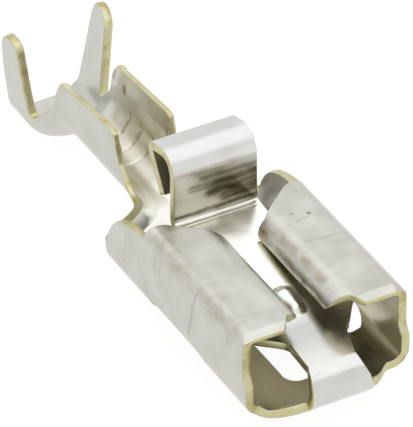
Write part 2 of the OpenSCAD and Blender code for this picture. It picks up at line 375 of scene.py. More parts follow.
    def point(self, u, v, wave=0.0):
        """Place on the outer face, in the row's frame seen from the mouth."""
        if u > 0 and abs(v) < self.root_v:
            x, z, a = self.walk(self.arm_path, u)
            place = Vector((x, v, z))
            out = Vector((math.sin(a), 0, -math.cos(a)))
        else:
            y, z, a = self.across(u, abs(v))
            side = 1 if v >= 0 else -1
            place = Vector((u, y * side, z))
            out = Vector((0, math.sin(a) * side, -math.cos(a)))
        return place + out * (self.relief(u, v) + wave * self.uneven(place))

    def inward(self, u, v, wave=0.0):
        """Unit direction from the outer face into the sheet."""
        e = 0.004
        du = self.point(u + e, v, wave) - self.point(u - e, v, wave)
        dv = self.point(u, v + e, wave) - self.point(u, v - e, wave)
        return du.cross(dv).normalized(), du.normalized(), dv.normalized()

    def outer_cut(self, u, v):
        """Lead-in pressed into the outer face along the front of the rolls."""
        if u < -1 or u > 0:
            return 0.0
        on_top = ease(0, 1, (abs(v) - self.v_shoulder - 0.25) / 0.4)
        return self.LEAD_IN_DEPTH * min(max((u - self.LEAD_IN_REAR) / self.LEAD_IN_RUN, 0), 1) * on_top

    def inner_cut(self, u, v):
        """Serrations across the wire barrel, and the thinner, coined edge of barrel and neck."""
        if not self.COIN_REAR < u < self.COIN_FRONT:
            return 0.0
        rim = self.reach(u, lookup(u, self.heights[1 if v > 0 else -1])) - abs(v)
        ends = ease(0, 1, (u - self.COIN_REAR) / 0.4) * ease(0, 1, (self.COIN_FRONT - u) / 0.8)
        cut = self.COIN_DEPTH * ease(1, 0, rim / self.COIN_WIDTH) * ends
        if -20 < u < -16:
            fade = ease(1, 0, (abs(v) - self.reach(self.BARREL_FRONT - 1, 1.3)) / 0.3)
            cut += fade * max(
                self.GROOVE_DEPTH * ease(1, 0, abs(u - groove) / self.GROOVE_HALF_W)
                for groove in self.GROOVES
            )
        return cut

    # ------------------------------------------------------------ outline of the blank

    def edge_heights(self, side):
        """Height of one free edge behind the socket, as (x, z) from the rear forward.

        The two ears are staggered: the right one stands further back than the left one.
        """
        if side > 0:
            ear = [
                (-24.65, -0.7), (-24.42, -0.1), (-24.24, 0.9), (-24.08, 2.0), (-23.95, 3.0), (-23.86, 3.6),
                (-23.72, 3.97), (-23.52, 4.17), (-23.3, 4.2), (-23.05, 4.12), (-22.8, 3.95), (-22.6, 3.77),
                (-22.47, 3.52), (-22.4, 2.0), (-22.32, 0.5), (-22.26, 0.22),
            ]
        else:
            ear = [
                (-24.65, 0.9), (-24.6, 1.7), (-24.5, 2.6), (-24.38, 3.1), (-24.18, 3.45), (-23.9, 3.66),
                (-23.5, 3.74), (-23.2, 3.71), (-22.98, 3.58), (-22.86, 3.36), (-22.82, 1.9), (-22.7, 0.5),
                (-22.6, 0.12), (-22.4, 0.13),
            ]
        return ear + [
            (-22.1, 0.32), (-21.8, 0.6), (-21.4, 0.97), (-21.05, 1.3), (-20.82, 1.7), (-20.7, 2.2),
            (-20.56, 2.7), (-20.36, 3.05), (-20.05, 3.2), (-19.6, 3.2), (-16.0, 3.5), (-15.6, 3.4),
            (-15.48, 2.95), (-15.36, 2.5), (-15.2, 2.12), (-14.9, 1.83), (-14.7, 1.63), (-14.4, 1.37),
            (-14.0, 1.22), (self.neck_x - 0.001, 1.2),
        ]

    def arm_half(self, u, side):
        """Half width of the lock arm at a distance along it."""
        turned = math.pi - self.arm_rise
        if u < self.curl_x + self.curl_r * math.pi / 2:
            x = self.walk(self.arm_path, u)[0]
            if u > self.curl_x + 0.8:
                if side < 0:
                    return 1.45
                return lookup(u - self.curl_x, [(0.8, 1.45), (1.2, 1.4), (1.58, 1.26)])
            if side > 0:
                return lookup(x, [
                    (0.0, 2.75), (0.12, 2.55), (0.35, 2.3), (0.64, 1.95), (0.78, 1.65), (0.95, 1.45),
                ])
            return lookup(x, [
                (0.0, 3.42), (0.15, 3.28), (0.41, 2.98), (0.68, 2.58), (0.88, 2.05), (1.0, 1.45),
            ])
        if u < self.curl_x + self.curl_r * turned:
            t = (self.walk(self.arm_path, u)[0] - self.curl_x) / self.curl_r
            return 1.22 + 0.23 * t if side < 0 else 0.98 + 0.28 * t ** 4
        x = self.arm_x(u)
        if side > 0 and x > -2.7:
            return lookup(-x, [
                (-0.2, 0.98), (0.55, 1.0), (0.75, 1.12), (0.95, 1.36), (1.15, 1.6), (1.6, 1.96),
                (2.1, 2.3), (2.7, 2.8),
            ])
        return lookup(-x, [
            (-0.5, 1.22), (0.95, 1.24), (1.15, 1.36), (1.35, 1.6), (1.6, 1.93), (1.85, 2.25),
            (2.15, 2.52), (2.7, 2.8), (6.3, 2.8), (7.3, self.lever_w / 2),
        ])

    def half_outline(self, side):
        """Half of the blank's outline, from the end of the arm round to the rear end."""
        end = self.arm_end
        stops = [0.0, self.curl_x]
        stops += [self.curl_x + self.curl_r * (math.pi - self.arm_rise) * k / 24 for k in range(1, 25)]
        stops += [self.arm_s(x) for x in (-0.95, -1.15, -1.35, -1.6, -1.85, -2.15, -2.7, -6.3, -7.3)]
        stops += [end - 0.12]
        fine = sorted(set(stops + [k * 0.04 for k in range(1, 25)]))
        arm = [(u, self.arm_half(u, side)) for u in fine]
        arm += [(end - 0.03, arm[-1][1] - 0.03), (end, arm[-1][1] - 0.12), (end, 0.0)]
        points = arm[::-1]
        # the socket's front edge, up the wall and over the roll
        wall = self.wall_base
        y_top = self.v_top + self.box_w / 2 - self.shoulder_r
        points += [(0.0, wall + 1.44), (-0.29, wall + 1.93), (-0.29, y_top - 1.87)]
        points += [(-0.42, y_top - 1.74), (-0.9, y_top - 1.42), (-1.02, self.v_lip + 0.5)]
        points += [(-1.22, self.v_lip + 1.0), (-1.38, self.v_lip + 1.3), (-1.56, self.v_end)]
        # back along the lip, and round the rear end of the roll
        points += [(-6.95, self.v_end), (-7.12, self.v_end - 0.12), (-7.2, self.v_lip + 0.6)]
        points += [(-7.4, y_top - 1.3), (-8.0, y_top - 2.05), (-8.6, y_top - 2.8), (-8.7, y_top - 3.1)]
        points += [(-8.7, wall + 3.42)]
        falls = (
            (2.3, 3.27), (1.8, 3.14), (1.3, 2.95), (0.85, 2.67), (0.5, 2.3), (0.22, 1.85), (0.06, 1.4),
        )
        points += [(self.neck_x + x, wall + z) for x, z in falls]
        points += [(x, self.reach(x, z)) for x, z in resample(self.heights[side][::-1], 0.1)]
        points += [(self.GRIP_REAR, 0.0)]
        return points

    def outline(self):
        """The whole outline: the left half, then the right half back to the start."""
        left = resample(self.half_outline(1), EDGE_STEP)
        right = [(u, -v) for u, v in resample(self.half_outline(-1), EDGE_STEP)[::-1]][1:-1]
        return left + right

    def windows(self):
        """Holes in the socket floor: one on the middle line and one at each lower corner."""
        rear, front, side, r = -7.35, -0.72, 1.36, 0.6
        middle = [(rear, -side), (front - r, -side)]
        middle += [
            (front - r + r * math.sin(a), -side + r - r * math.cos(a))
            for a in (math.radians(10 * k) for k in range(1, 9))
        ]
        middle += [(front, -side + r)]
        middle += [(u, -v) for u, v in middle[::-1]]
        corner = [
            (-8.1, 2.15), (-2.75, 2.15), (-2.55, 2.3), (-2.5, 2.55), (-2.6, 2.95), (-2.8, 3.25),
            (-3.1, 3.6), (-3.4, 3.86), (-3.75, 4.04), (-4.1, 4.1), (-8.1, 4.1),
        ]
        loops = [middle, corner, [(u, -v) for u, v in corner[::-1]]]
        return [resample(loop + [loop[0]], EDGE_STEP)[:-1] for loop in loops]

    def grid_lines(self):
        """Places along and across the blank at which its faces are divided."""
        along = {round(-24.5 + 0.2 * k, 4) for k in range(63)}
        along |= {round(-11.9 + 0.25 * k, 4) for k in range(48)}
        along |= {round(-1 + 0.09 * k, 4) for k in range(10)}
        for groove in self.GROOVES:
            along |= {round(groove + 0.04 * k, 4) for k in range(-4, 5)}
        s = 0.0
        for run, r, turn in self.arm_path:
            radius = r + self.sheet if turn > 0 else r
            count = max(1, math.ceil(run / 0.25))
            along |= {round(s + run * k / count, 5) for k in range(count)}
            s += run
            steps = max(1, math.ceil(abs(turn) / math.radians(7)))
            along |= {round(s + radius * abs(turn) * k / steps, 5) for k in range(steps + 1)}
            s += radius * abs(turn)
        for x, steps, gap in ((-4.25, 27, 0.08), (-9.45, 14, 0.05)):
            along |= {round(self.arm_s(x + gap * k), 5) for k in range(steps)}
        across = {round(0.15 * k, 4) for k in range(int(self.v_wall / 0.15))}
        across |= {round(0.075 * k, 4) for k in range(9)}
        s = 0.0
        for run, r, turn in self.socket_path:
            radius = r + self.sheet
            count = max(1, math.ceil(run / 0.22))
            across |= {round(s + run * k / count, 5) for k in range(count + 1)}
            s += run
            steps = math.ceil(abs(turn) / math.radians(8))
            across |= {round(s + radius * abs(turn) * k / steps, 5) for k in range(steps + 1)}
            s += radius * abs(turn)
        return thinned(sorted(along), 0.012), thinned(sorted(across | {-v for v in across}), 0.02)


def row_spans(v, loops):
    """Stretches of the line at v that lie inside the blank, as pairs of u."""
    cuts = []
    for loop in loops:
        x0, y0 = loop[-1]
        for x1, y1 in loop:
            if (y1 > v) != (y0 > v):
                cuts.append((x0 - x1) * (v - y1) / (y0 - y1) + x1)
            x0, y0 = x1, y1
    cuts.sort()
    return list(zip(cuts[::2], cuts[1::2]))


def divide_blank(strip):
    """Points, triangles and edge loops of the flat blank."""
    loops = [strip.outline()] + strip.windows()
    points, ends = [], []
    for loop in loops:
        first = len(points)
        points += loop
        ends.append(list(range(first, len(points))))
    rim = KDTree(len(points))
    for i, (u, v) in enumerate(points):
        rim.insert((u, v, 0), i)
    rim.balance()
    edges = [(loop[i], loop[(i + 1) % len(loop)]) for loop in ends for i in range(len(loop))]
    along, across = strip.grid_lines()
    for v in across:
        for low, high in row_spans(v + 1e-6, loops):
            for u in along:
                if low < u < high and rim.find((u, v, 0))[2] > EDGE_CLEARANCE:
                    points.append((u, v))
    verts, _, faces, source, _, _ = delaunay_2d_cdt([Vector(p) for p in points], edges, [], 0, 1e-6)
    number = {}
    for i, olds in enumerate(source):
        for old in olds:
            number[old] = i
    on_rim = {number[i] for loop in ends for i in loop}
    kept = []
    for a, b, c in faces:
        if a in on_rim and b in on_rim and c in on_rim:
            u, v = (verts[a] + verts[b] + verts[c]) / 3
            if not any(low < u < high for low, high in row_spans(v, loops)):
                continue
        turn = (verts[b] - verts[a]).cross(verts[c] - verts[a])
        kept.append((a, b, c) if turn > 0 else (a, c, b))
    return [(p[0], p[1]) for p in verts], kept, [[number[i] for i in loop] for loop in ends]


def cut_and_tilt(cut, u, v, along, across):
    """Depth of a cut at a point of the blank, and how far it tilts the face there."""
    e = 0.01
    depth = cut(u, v)
    slope_u = (cut(u + e, v) - cut(u - e, v)) / (2 * e)
    slope_v = (cut(u, v + e) - cut(u, v - e)) / (2 * e)
    return depth, along * slope_u + across * slope_v


def fold_mesh(strip, wave):
    """Folded strip with rounded cut edges: places, faces, material numbers, normals and blank places."""
    flat, triangles, loops = divide_blank(strip)
    places, normals, blank = [], [], []
    frames = []
    for u, v in flat:
        n, along, across = strip.inward(u, v, wave)
        p = strip.point(u, v, wave)
        frames.append((p, n, along, across))
        cut, tilt = cut_and_tilt(strip.outer_cut, u, v, along, across)
        places.append(p + n * cut)
        normals.append((tilt - n).normalized())
        blank.append((u, v))
    count = len(flat)
    for (u, v), (p, n, along, across) in zip(flat, frames):
        cut, tilt = cut_and_tilt(strip.inner_cut, u, v, along, across)
        places.append(p + n * (strip.sheet - cut))
        normals.append((n + tilt).normalized())
        blank.append((u, v + INNER_SHIFT))
    faces = [(a, c, b) for a, b, c in triangles]
    faces += [(a + count, b + count, c + count) for a, b, c in triangles]
    slots = [0] * len(faces)
    r = strip.shear_r
    for loop in loops:
        size = len(loop)
        area = sum(
            flat[loop[i]][0] * flat[loop[(i + 1) % size]][1]
            - flat[loop[(i + 1) % size]][0] * flat[loop[i]][1]
            for i in range(size)
        )
        outer_loop = loop is loops[0]
        flip = 1 if (area > 0) == outer_loop else -1
        rings = []
        for i, index in enumerate(loop):
            u0, v0 = flat[loop[i - 1]]
            u1, v1 = flat[loop[(i + 1) % size]]
            du, dv = (v1 - v0) * flip, -(u1 - u0) * flip
            p, n, along, across = frames[index]
            side = (along * du + across * dv).normalized()
            side = (side - n * side.dot(n)).normalized()
            places[index] -= side * r
            places[index + count] -= side * r
            low, high = places[index], places[index + count]
            wear = noise.noise(p * 3.1) * 0.012
            soft = min(r, (high - low).length * 0.3)
            steps = (
                (low + side * r * 0.6 + n * soft * 0.25, (side * 0.5 - n * 0.86)),
                (low + side * (r + wear) + n * soft * 0.9, (side * 0.95 - n * 0.3)),
                (high + side * (r + wear) - n * soft * 0.9, (side * 0.95 + n * 0.3)),
                (high + side * r * 0.6 - n * soft * 0.25, (side * 0.5 + n * 0.86)),
            )
            ring = [index]
            for k, (place, normal) in enumerate(steps):
                ring.append(len(places))
                places.append(place)
                normals.append(normal.normalized())
                blank.append((flat[index][0], flat[index][1] + (INNER_SHIFT if k > 1 else 0)))
            rings.append(ring + [index + count])
        for i in range(size):
            a, b = rings[i], rings[(i + 1) % size]
            for k in range(5):
                quad = (a[k], b[k], b[k + 1], a[k + 1])
                faces.append(quad if flip > 0 else quad[::-1])
                slots.append(1 if 0 < k < 4 else 0)
    return places, faces, slots, normals, blank


# ---------------------------------------------------------------- materials


def new_material(name):
    """A material with its nodes, links and main shader."""
    material = bpy.data.materials.new(name)
    material.use_nodes = True
    nodes = material.node_tree.nodes
    return material, nodes, material.node_tree.links, nodes["Principled BSDF"]


def add(nodes, kind, **inputs):
    """A new node with its inputs set; a low line in a name stands for a space."""
    node = nodes.new(kind)
    for name, value in inputs.items():
        node.inputs[name.replace("_", " ")].default_value = value
    return node


def scale_of(nodes, links, source, low, high, bottom, top):
    """Range of a value stretched to another range, held at its ends."""
    node = nodes.new("ShaderNodeMapRange")
    for name, value in (("From Min", low), ("From Max", high), ("To Min", bottom), ("To Max", top)):
        node.inputs[name].default_value = value
    links.new(source, node.inputs["Value"])
    return node.outputs["Result"]


def stretched_noise(nodes, links, source, scale, detail=4.0, roughness=0.6):
    """Noise drawn out along one direction of the blank."""
    stretch = nodes.new("ShaderNodeMapping")
    stretch.inputs["Scale"].default_value = scale
    links.new(source, stretch.inputs["Vector"])
    grain = add(nodes, "ShaderNodeTexNoise", Scale=1.0, Detail=detail, Roughness=roughness)
    links.new(stretch.outputs["Vector"], grain.inputs["Vector"])
    return grain.outputs["Fac"]


def mark(nodes, links, source, start, end, width, strength):
    """Soft line on the blank from start to end: strength on the line, 0 at its width from it."""
    run = (end[0] - start[0], end[1] - start[1], 0.0)
    from_start = nodes.new("ShaderNodeVectorMath")
    from_start.operation = "SUBTRACT"
    from_start.inputs[1].default_value = (start[0], start[1], 0.0)
    links.new(source, from_start.inputs[0])
    along = nodes.new("ShaderNodeVectorMath")
    along.operation = "DOT_PRODUCT"
    along.inputs[1].default_value = run
    links.new(from_start.outputs["Vector"], along.inputs[0])
    share = scale_of(nodes, links, along.outputs["Value"], 0.0, run[0] ** 2 + run[1] ** 2, 0.0, 1.0)
    nearest = nodes.new("ShaderNodeVectorMath")
    nearest.operation = "SCALE"
    nearest.inputs[0].default_value = run
    links.new(share, nearest.inputs["Scale"])
    gap = nodes.new("ShaderNodeVectorMath")
    gap.operation = "DISTANCE"
    links.new(from_start.outputs["Vector"], gap.inputs[0])
    links.new(nearest.outputs["Vector"], gap.inputs[1])
    return scale_of(nodes, links, gap.outputs["Value"], width * 0.25, width, strength, 0.0)


def product(nodes, links, a, b):
    """The product of two values."""
    node = nodes.new("ShaderNodeMath")
    node.operation = "MULTIPLY"
    links.new(a, node.inputs[0])
    links.new(b, node.inputs[1])
    return node.outputs[0]


def strongest(nodes, links, values):
    """The highest of several values."""
    top = values[0]
    for value in values[1:]:
        node = nodes.new("ShaderNodeMath")
        node.operation = "MAXIMUM"
        links.new(top, node.inputs[0])
        links.new(value, node.inputs[1])
        top = node.outputs[0]
    return top


def seen_share(nodes, links):
    """1 for what is seen directly, in a reflection or through glass, and 0 for other light."""
    path = nodes.new("ShaderNodeLightPath")
    kinds = ("Is Camera Ray", "Is Glossy Ray", "Is Transmission Ray")
    return strongest(nodes, links, [path.outputs[kind] for kind in kinds])


def blend_colour(nodes, links, share, under, over):
    """Colour that goes from under to over with the share; each is a socket or a colour."""
    node = nodes.new("ShaderNodeMix")
    node.data_type = "RGBA"
    links.new(share, node.inputs["Factor"])
    for name, value in (("A", under), ("B", over)):
        socket = [i for i in node.inputs if i.name == name and i.type == "RGBA"][0]
        if isinstance(value, bpy.types.NodeSocket):
            links.new(value, socket)
        else:
            socket.default_value = list(value) + [1]
    return [o for o in node.outputs if o.type == "RGBA"][0]


def painted_light_by_stretch(nodes, links, strip, along, over, inside, outside, colour):
    """Each stretch of the strip in its own tint, most of it painted light and shade: warm inside the socket,
    partly duller plating and partly painted shade; painted highlights and painted reflections on the curl,
    the arm and the lever; painted light inside the neck and barrel; a painted dark reflection on the left
    wall's inner rear.
    """
    foot = strip.foot_s
    wall_inside = INNER_SHIFT + strip.wall_base
    left_wall = scale_of(nodes, links, over, wall_inside - 0.6, wall_inside + 0.2, 0.0, 1.0)
    # painted light and shade on each stretch: inside the socket a warm tint, partly duller plating and partly
    # painted shade; on the arm a painted highlight at the curl's front, a greyer curl, a painted reflection
    # darkening the front plate and a painted highlight on the middle; on the lever a darker foot, a lit face
    # and a greyer top, all painted light and shade
    stretches = (
        (inside, -9.6, -8.4, (0.6, 0.56, 0.43)),
        (outside, 0.2, 1.2, (0.8, 0.795, 0.77)),
        (outside, strip.curl_x + 0.6, strip.curl_x + 1.2, (0.66, 0.66, 0.635)),
        (outside, strip.arm_s(0.2), strip.arm_s(-1.0), (0.52, 0.52, 0.5)),
        (outside, strip.arm_s(-1.8), strip.arm_s(-3.2), (0.94, 0.93, 0.88)),
        (outside, foot - 0.1, foot + 0.1, (0.6, 0.585, 0.5)),
        (outside, foot + 1.0, foot + 1.9, (0.8, 0.79, 0.745)),
        (outside, foot + 2.2, foot + 2.8, (0.66, 0.66, 0.645)),
    )
    for face, start, end, tone in stretches:
        share = product(nodes, links, face, scale_of(nodes, links, along, start, end, 0.0, 1.0))
        colour = blend_colour(nodes, links, share, colour, tone)
    # painted light: the inner face of the neck and barrel made brighter
    behind = product(nodes, links, inside, scale_of(nodes, links, along, -9.6, -8.4, 1.0, 0.0))
    colour = blend_colour(nodes, links, behind, colour, (0.87, 0.865, 0.82))
    # painted light on the inner face, stepping down from the neck to the barrel and the grip
    for start, end, tone in ((-14.6, -15.4, (0.68, 0.65, 0.545)), (-19.6, -21.0, (0.6, 0.595, 0.55))):
        share = product(nodes, links, inside, scale_of(nodes, links, along, end, start, 1.0, 0.0))
        colour = blend_colour(nodes, links, share, colour, tone)
    # painted shade: a dark reflection painted on the inner face of the left wall's rear part
    shade = product(nodes, links, left_wall, scale_of(nodes, links, along, -12.2, -11.4, 0.0, 1.0))
    shade = product(nodes, links, shade, scale_of(nodes, links, along, -8.2, -7.2, 0.85, 0.0))
    return blend_colour(nodes, links, shade, colour, (0.3, 0.275, 0.25))


def dull_and_drag(nodes, links, look, flat, blotch, colour):
    """Dull patches and press drag over every stretch."""
    dull = scale_of(nodes, links, blotch, 0.32, 0.62, 0.2, 0.0)
    colour = blend_colour(nodes, links, dull, colour, (0.42, 0.405, 0.35))
    drag = stretched_noise(nodes, links, flat, (7.0, 0.35, 1.0), 3.0, 0.5)
    drag = scale_of(nodes, links, drag, 0.58, 0.75, 0.0, 0.35)
    return blend_colour(nodes, links, drag, colour, [c * 0.72 for c in look.tin])


def wavered(nodes, links, flat):
    """Places on the blank, shifted a little so that no mark is ruled."""
    waver = nodes.new("ShaderNodeVectorMath")
    waver.operation = "MULTIPLY_ADD"
    wander = add(nodes, "ShaderNodeTexNoise", Scale=1.4, Detail=4.0, Roughness=0.6)
    links.new(flat, wander.inputs["Vector"])
    links.new(wander.outputs["Color"], waver.inputs[0])
    waver.inputs[1].default_value = (0.24, 0.24, 0.0)
    links.new(flat, waver.inputs[2])
    shift = nodes.new("ShaderNodeVectorMath")
    shift.operation = "SUBTRACT"
    shift.inputs[1].default_value = (0.12, 0.12, 0.0)
    links.new(waver.outputs["Vector"], shift.inputs[0])
    return shift.outputs["Vector"]


def crease_shade_and_specks(nodes, links, strip, flat, wavy, colour):
    """Dark hairline marks on the right wall and the left roll, painted shade of creases, with two dark specks
    on the roll.
    """
    wall, top = strip.wall_base, strip.v_top
    lines = [
        mark(nodes, links, wavy, (-4.2, -wall - 3.5), (-4.8, -wall - 1.1), 0.12, 0.3),
        mark(nodes, links, wavy, (-1.4, -wall - 3.4), (-1.6, -wall - 2.6), 0.08, 0.25),
        mark(nodes, links, wavy, (-7.1, -wall - 3.3), (-7.25, -wall - 2.5), 0.09, 0.3),
        mark(nodes, links, wavy, (-10.2, -wall - 2.6), (-10.3, -wall - 1.2), 0.07, 0.2),
        mark(nodes, links, wavy, (-4.75, top + 1.6), (-4.6, top - 0.2), 0.12, 0.2),
        mark(nodes, links, wavy, (-6.2, top + 1.2), (-6.25, top + 0.6), 0.09, 0.25),
        mark(nodes, links, flat, (-6.41, top + 0.46), (-6.43, top + 0.53), 0.09, 1.0),
        mark(nodes, links, flat, (-6.69, top + 1.1), (-6.7, top + 1.16), 0.08, 0.6),
    ]
    # the crease marks are painted shade; the two specks are dark spots on the plate
    return blend_colour(nodes, links, strongest(nodes, links, lines), colour, (0.2, 0.18, 0.13))


def lever_painted_reflection(nodes, links, strip, flat, wavy, colour):
    """Dark bands over the face of the release lever: a painted reflection of the socket in front of it."""
    foot = strip.foot_s
    side = strip.lever_w / 2
    reflection_bands = [
        mark(nodes, links, wavy, (foot + 1.75, -0.35 * side), (foot + 1.7, side + 0.3), 0.18, 0.6),
        mark(nodes, links, wavy, (foot + 1.35, -0.6 * side), (foot + 1.35, side + 0.3), 0.26, 0.85),
        mark(nodes, links, wavy, (foot + 0.95, -0.15 * side), (foot + 0.9, side + 0.3), 0.36, 1.0),
        mark(nodes, links, wavy, (foot + 0.55, 0.2 * side), (foot + 0.6, side + 0.3), 0.36, 1.0),
        mark(nodes, links, wavy, (foot + 0.12, -side - 0.3), (foot + 0.16, side + 0.3), 0.17, 1.0),
    ]
    patchy = stretched_noise(nodes, links, flat, (4.5, 0.5, 1.0), 5.0, 0.65)
    patchy = scale_of(nodes, links, patchy, 0.3, 0.52, 0.25, 1.0)
    smear_and_painted_reflection = product(nodes, links, strongest(nodes, links, reflection_bands), patchy)
    # the dark olive colour of the painted reflection
    return blend_colour(nodes, links, smear_and_painted_reflection, colour, (0.15, 0.13, 0.08))


def marks_and_painted_shade(nodes, links, strip, flat, wavy, colour):
    """Brown marks: darker brown along the left roll's lip bend, at its rear corner and on its wall; partly
    smudges and partly painted shade along the right roll's bend; painted shade in the barrel's grooves;
    inside the barrel a dark spot, two faint patches and a painted shadow toward the left ear's base.
    """
    wall, lip = strip.wall_base, strip.v_lip
    # darker brown along the left roll's lip bend, at its rear corner and on its wall
    marks_and_shade = [
        mark(nodes, links, wavy, (-7.2, lip + 0.7), (-2.4, lip + 0.6), 0.34, 0.5),
        mark(nodes, links, wavy, (-7.3, lip + 1.0), (-6.6, lip + 1.1), 0.4, 1.0),
        mark(nodes, links, wavy, (-6.8, lip + 1.35), (-2.0, lip + 1.3), 0.4, 0.6),
        mark(nodes, links, wavy, (-8.3, wall + 2.2), (-8.9, wall + 2.9), 0.4, 0.5),
    ]
    # along the right roll's upper bend: partly smudges, partly painted shade that takes the highlight off the
    # bend
    bend = (strip.v_shoulder + strip.v_top) / 2
    marks_and_shade += [
        mark(nodes, links, wavy, (-8.0, -bend - 0.2), (-5.6, -bend - 0.1), 0.8, 0.3),
        mark(nodes, links, wavy, (-4.6, -bend - 0.2), (-1.4, -bend - 0.05), 0.8, 0.3),
        mark(nodes, links, wavy, (-7.3, -bend), (-7.6, -bend + 1.0), 0.4, 0.3),
    ]
    # painted shade in the barrel's grooves: dark marks down each groove on the inner face
    for groove in strip.GROOVES:
        start, end = (groove, INNER_SHIFT + 0.9), (groove, INNER_SHIFT + 2.3)
        marks_and_shade.append(mark(nodes, links, flat, start, end, 0.09, 0.8))
    low = INNER_SHIFT + strip.reach(-19.5, 2.4)
    high = INNER_SHIFT + strip.reach(-18.0, 1.6)
    # inside the barrel: a dark spot near its rear top, a painted shadow toward the left ear's base, and two
    # faint brown patches
    marks_and_shade += [
        mark(nodes, links, flat, (-19.4, low), (-19.42, low + 0.2), 0.22, 1.0),
        mark(nodes, links, wavy, (-20.9, low - 1.2), (-21.3, low - 0.9), 0.3, 0.5),
        mark(nodes, links, wavy, (-17.6, high), (-18.3, high + 0.5), 0.7, 0.2),
        mark(nodes, links, wavy, (-16.2, high), (-16.5, high + 0.9), 0.5, 0.25),
    ]
    soft = stretched_noise(nodes, links, flat, (1.8, 1.8, 1.0), 3.0, 0.55)
    soft = scale_of(nodes, links, soft, 0.34, 0.62, 0.1, 1.0)
    mark_and_shade = product(nodes, links, strongest(nodes, links, marks_and_shade), soft)
    # one brown colour for all these, the real marks and the painted shade alike
    return blend_colour(nodes, links, mark_and_shade, colour, (0.27, 0.215, 0.11))


def tin_plate(look, strip):
    """Satin tin: rolling grain, faint blotches, press drag, painted light and shade by stretch, painted shade
    of hairline creases, a painted reflection on the lever and brown marks, some of them painted shade.
    """
    material, nodes, links, shader = new_material("tin_plate")
    place = nodes.new("ShaderNodeTexCoord")
    blank = nodes.new("ShaderNodeUVMap")
    blank.uv_map = "blank"
    flat = blank.outputs["UV"]

    blotch = add(nodes, "ShaderNodeTexNoise", Scale=900.0, Detail=2.5, Roughness=0.5)
    links.new(place.outputs["Object"], blotch.inputs["Vector"])
    tint = nodes.new("ShaderNodeValToRGB")
    low, high = tint.color_ramp.elements
    low.position, high.position = 0.3, 0.72
    low.color = [c * k for c, k in zip(look.tin, (0.93, 0.925, 0.89))] + [1]
    high.color = [min(1, c * 1.05) for c in look.tin] + [1]
    links.new(blotch.outputs["Fac"], tint.inputs["Fac"])
    colour = tint.outputs["Color"]
    foot = strip.foot_s
    spot = nodes.new("ShaderNodeSeparateXYZ")
    links.new(flat, spot.inputs[0])
    along, over = spot.outputs["X"], spot.outputs["Y"]
    inside = scale_of(nodes, links, over, 19.0, 21.0, 0.0, 1.0)
    outside = scale_of(nodes, links, over, 19.0, 21.0, 1.0, 0.0)
    colour = painted_light_by_stretch(nodes, links, strip, along, over, inside, outside, colour)
    colour = dull_and_drag(nodes, links, look, flat, blotch.outputs["Fac"], colour)
    wavy = wavered(nodes, links, flat)
    colour = crease_shade_and_specks(nodes, links, strip, flat, wavy, colour)
    colour = lever_painted_reflection(nodes, links, strip, flat, wavy, colour)
    colour = marks_and_painted_shade(nodes, links, strip, flat, wavy, colour)
    links.new(colour, shader.inputs["Base Color"])

    low, high = look.roughness * 0.75, look.roughness * 1.3
    rough = scale_of(nodes, links, blotch.outputs["Fac"], 0.25, 0.75, low, high)
    polish = product(nodes, links, outside, scale_of(nodes, links, along, 1.0, 2.4, 0.0, 1.0))
    polish = product(nodes, links, polish, scale_of(nodes, links, along, foot - 0.1, foot + 0.1, 1.0, 0.4))
    polish = scale_of(nodes, links, polish, 0.0, 1.0, 1.0, 0.75)
    links.new(product(nodes, links, rough, polish), shader.inputs["Roughness"])

    bump = add(nodes, "ShaderNodeBump", Strength=0.3, Distance=look.grain)
    links.new(stretched_noise(nodes, links, flat, (7.0, 0.9, 1.0), 2.0, 0.5), bump.inputs["Height"])
    links.new(bump.outputs["Normal"], shader.inputs["Normal"])
    shader.inputs["Metallic"].default_value = 1.0
    return material


def cut_brass(look):
    """Bare brass on the stamped edges, tarnished here and smeared with tin there."""
    material, nodes, links, shader = new_material("cut_brass")
    place = nodes.new("ShaderNodeTexCoord")
    smear_and_painted_reflection = add(nodes, "ShaderNodeTexNoise", Scale=1500.0, Detail=4.0, Roughness=0.6)
    links.new(place.outputs["Object"], smear_and_painted_reflection.inputs["Vector"])
    tint = nodes.new("ShaderNodeValToRGB")
    low, high = tint.color_ramp.elements
    low.position, high.position = 0.32, 0.68
    low.color = [c * k for c, k in zip(look.brass, (0.72, 0.7, 0.6))] + [1]
    high.color = [0.5 * (a + b) for a, b in zip(look.brass, look.tin)] + [1]
    middle = tint.color_ramp.elements.new(0.5)
    middle.color = list(look.brass) + [1]
    links.new(smear_and_painted_reflection.outputs["Fac"], tint.inputs["Fac"])
    links.new(tint.outputs["Color"], shader.inputs["Base Color"])
    shear = add(nodes, "ShaderNodeTexNoise", Scale=5000.0, Detail=2.0, Roughness=0.5)
    links.new(place.outputs["Object"], shear.inputs["Vector"])
    bump = add(nodes, "ShaderNodeBump", Strength=0.3, Distance=look.grain * 2)
    links.new(shear.outputs["Fac"], bump.inputs["Height"])
    links.new(bump.outputs["Normal"], shader.inputs["Normal"])
    shader.inputs["Metallic"].default_value = 1.0
    shader.inputs["Roughness"].default_value = 0.4
    return material


# ---------------------------------------------------------------- operators


